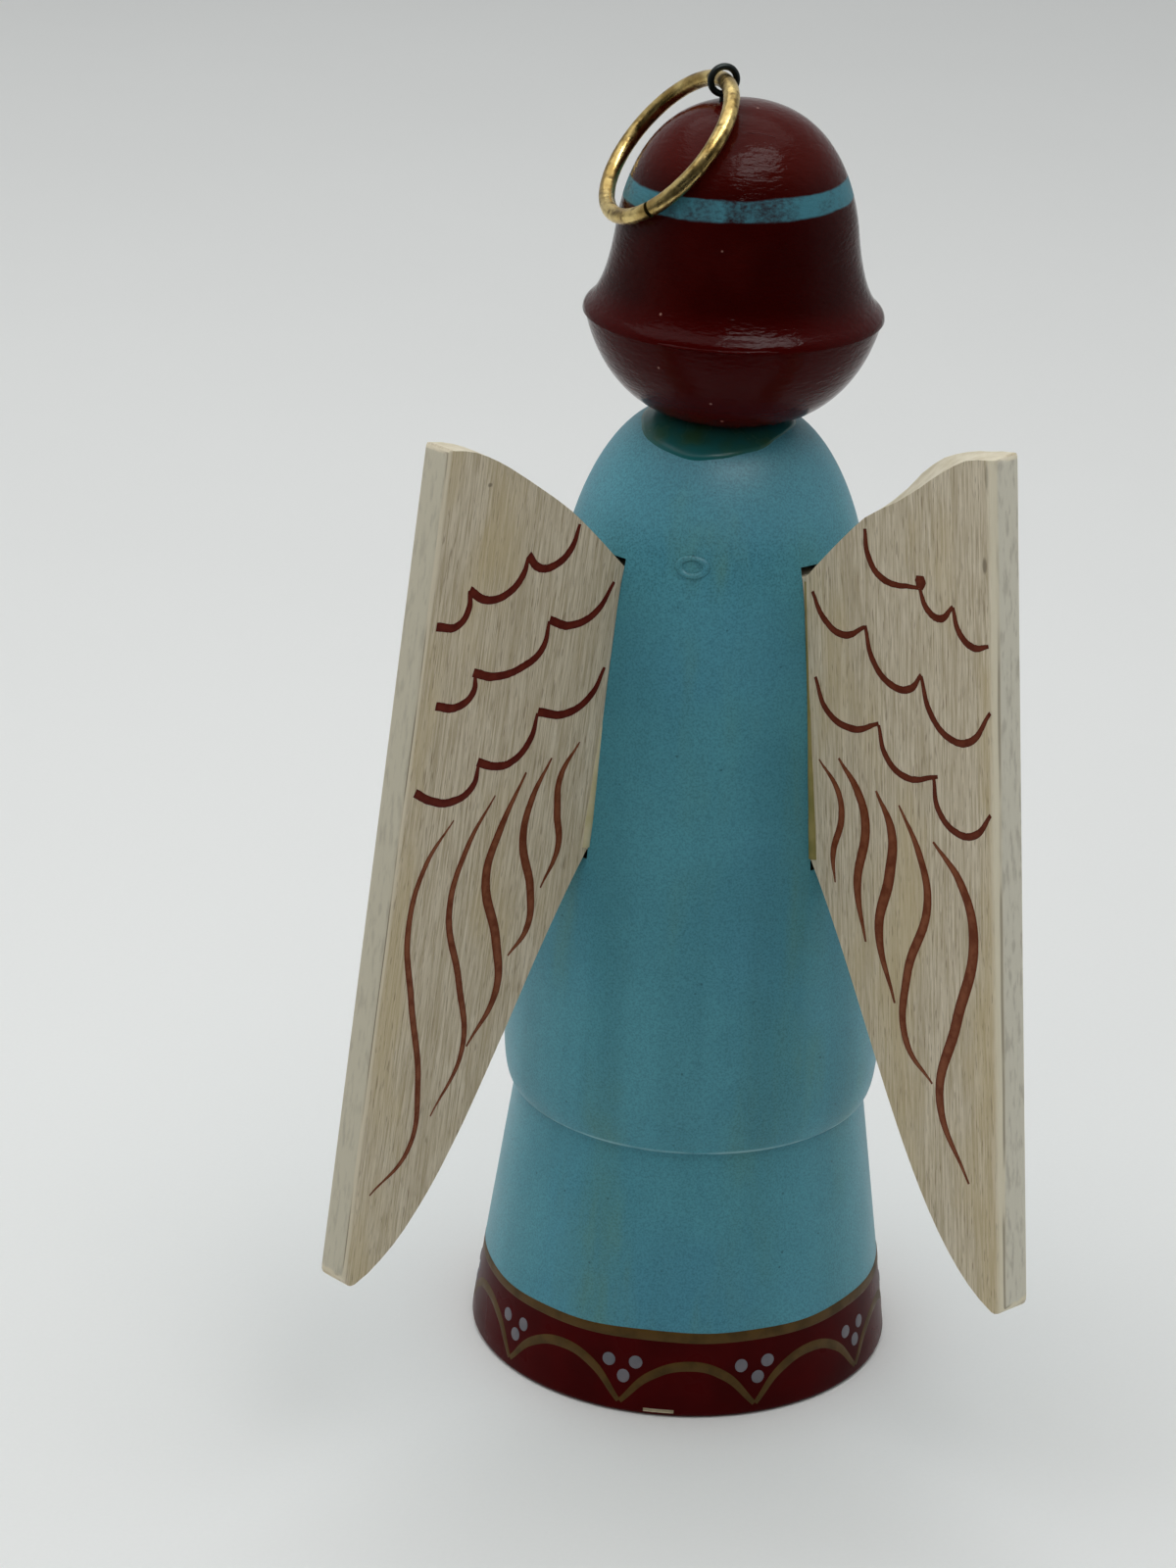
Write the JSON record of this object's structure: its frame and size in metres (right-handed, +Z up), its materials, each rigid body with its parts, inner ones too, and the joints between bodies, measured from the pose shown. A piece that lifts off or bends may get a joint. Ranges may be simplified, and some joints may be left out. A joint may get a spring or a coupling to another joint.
{
  "type": "turned wooden angel ornament",
  "caption": "Lathe-turned wooden angel figure with painted gown and hair, slotted wing boards and a wire hanging ring linked through a screw eye.",
  "frame": {"origin": "centre of the gown's flat underside, on the surface that it stands on", "axes": "+Z up along the turned gown, -Y the way the figure faces, so the wings are on the +Y side, +X the figure's left"},
  "size_m": [0.0614, 0.0526, 0.1203],
  "materials": {
    "gown_paint": "turned wood under light blue satin paint, with a dark red painted hem",
    "hair_paint": "turned wood under dark red-brown gloss paint",
    "dowel_wood": "bare beech",
    "wing_wood": "thin whitewash over open grain, matt, with red painted feather strokes",
    "eye_wire": "blackened steel wire",
    "ring_brass": "aged brass plating, worn bright on the outside"
  },
  "bodies": {
    "figure": {"gown": "gown_paint", "head": "hair_paint", "neck_dowel": "dowel_wood", "left_wing": "wing_wood", "right_wing": "wing_wood", "screw_eye": "eye_wire"},
    "ring": {"hanging_ring": "ring_brass"}
  },
  "joints": [
    {"name": "ring_swing", "type": "hinge", "parent": "figure", "child": "ring", "pos_m": [0.0012, 0, 0.11884], "axis": [0.3746, -0.9272, 0], "range_deg": [0, 263]}
  ]
}
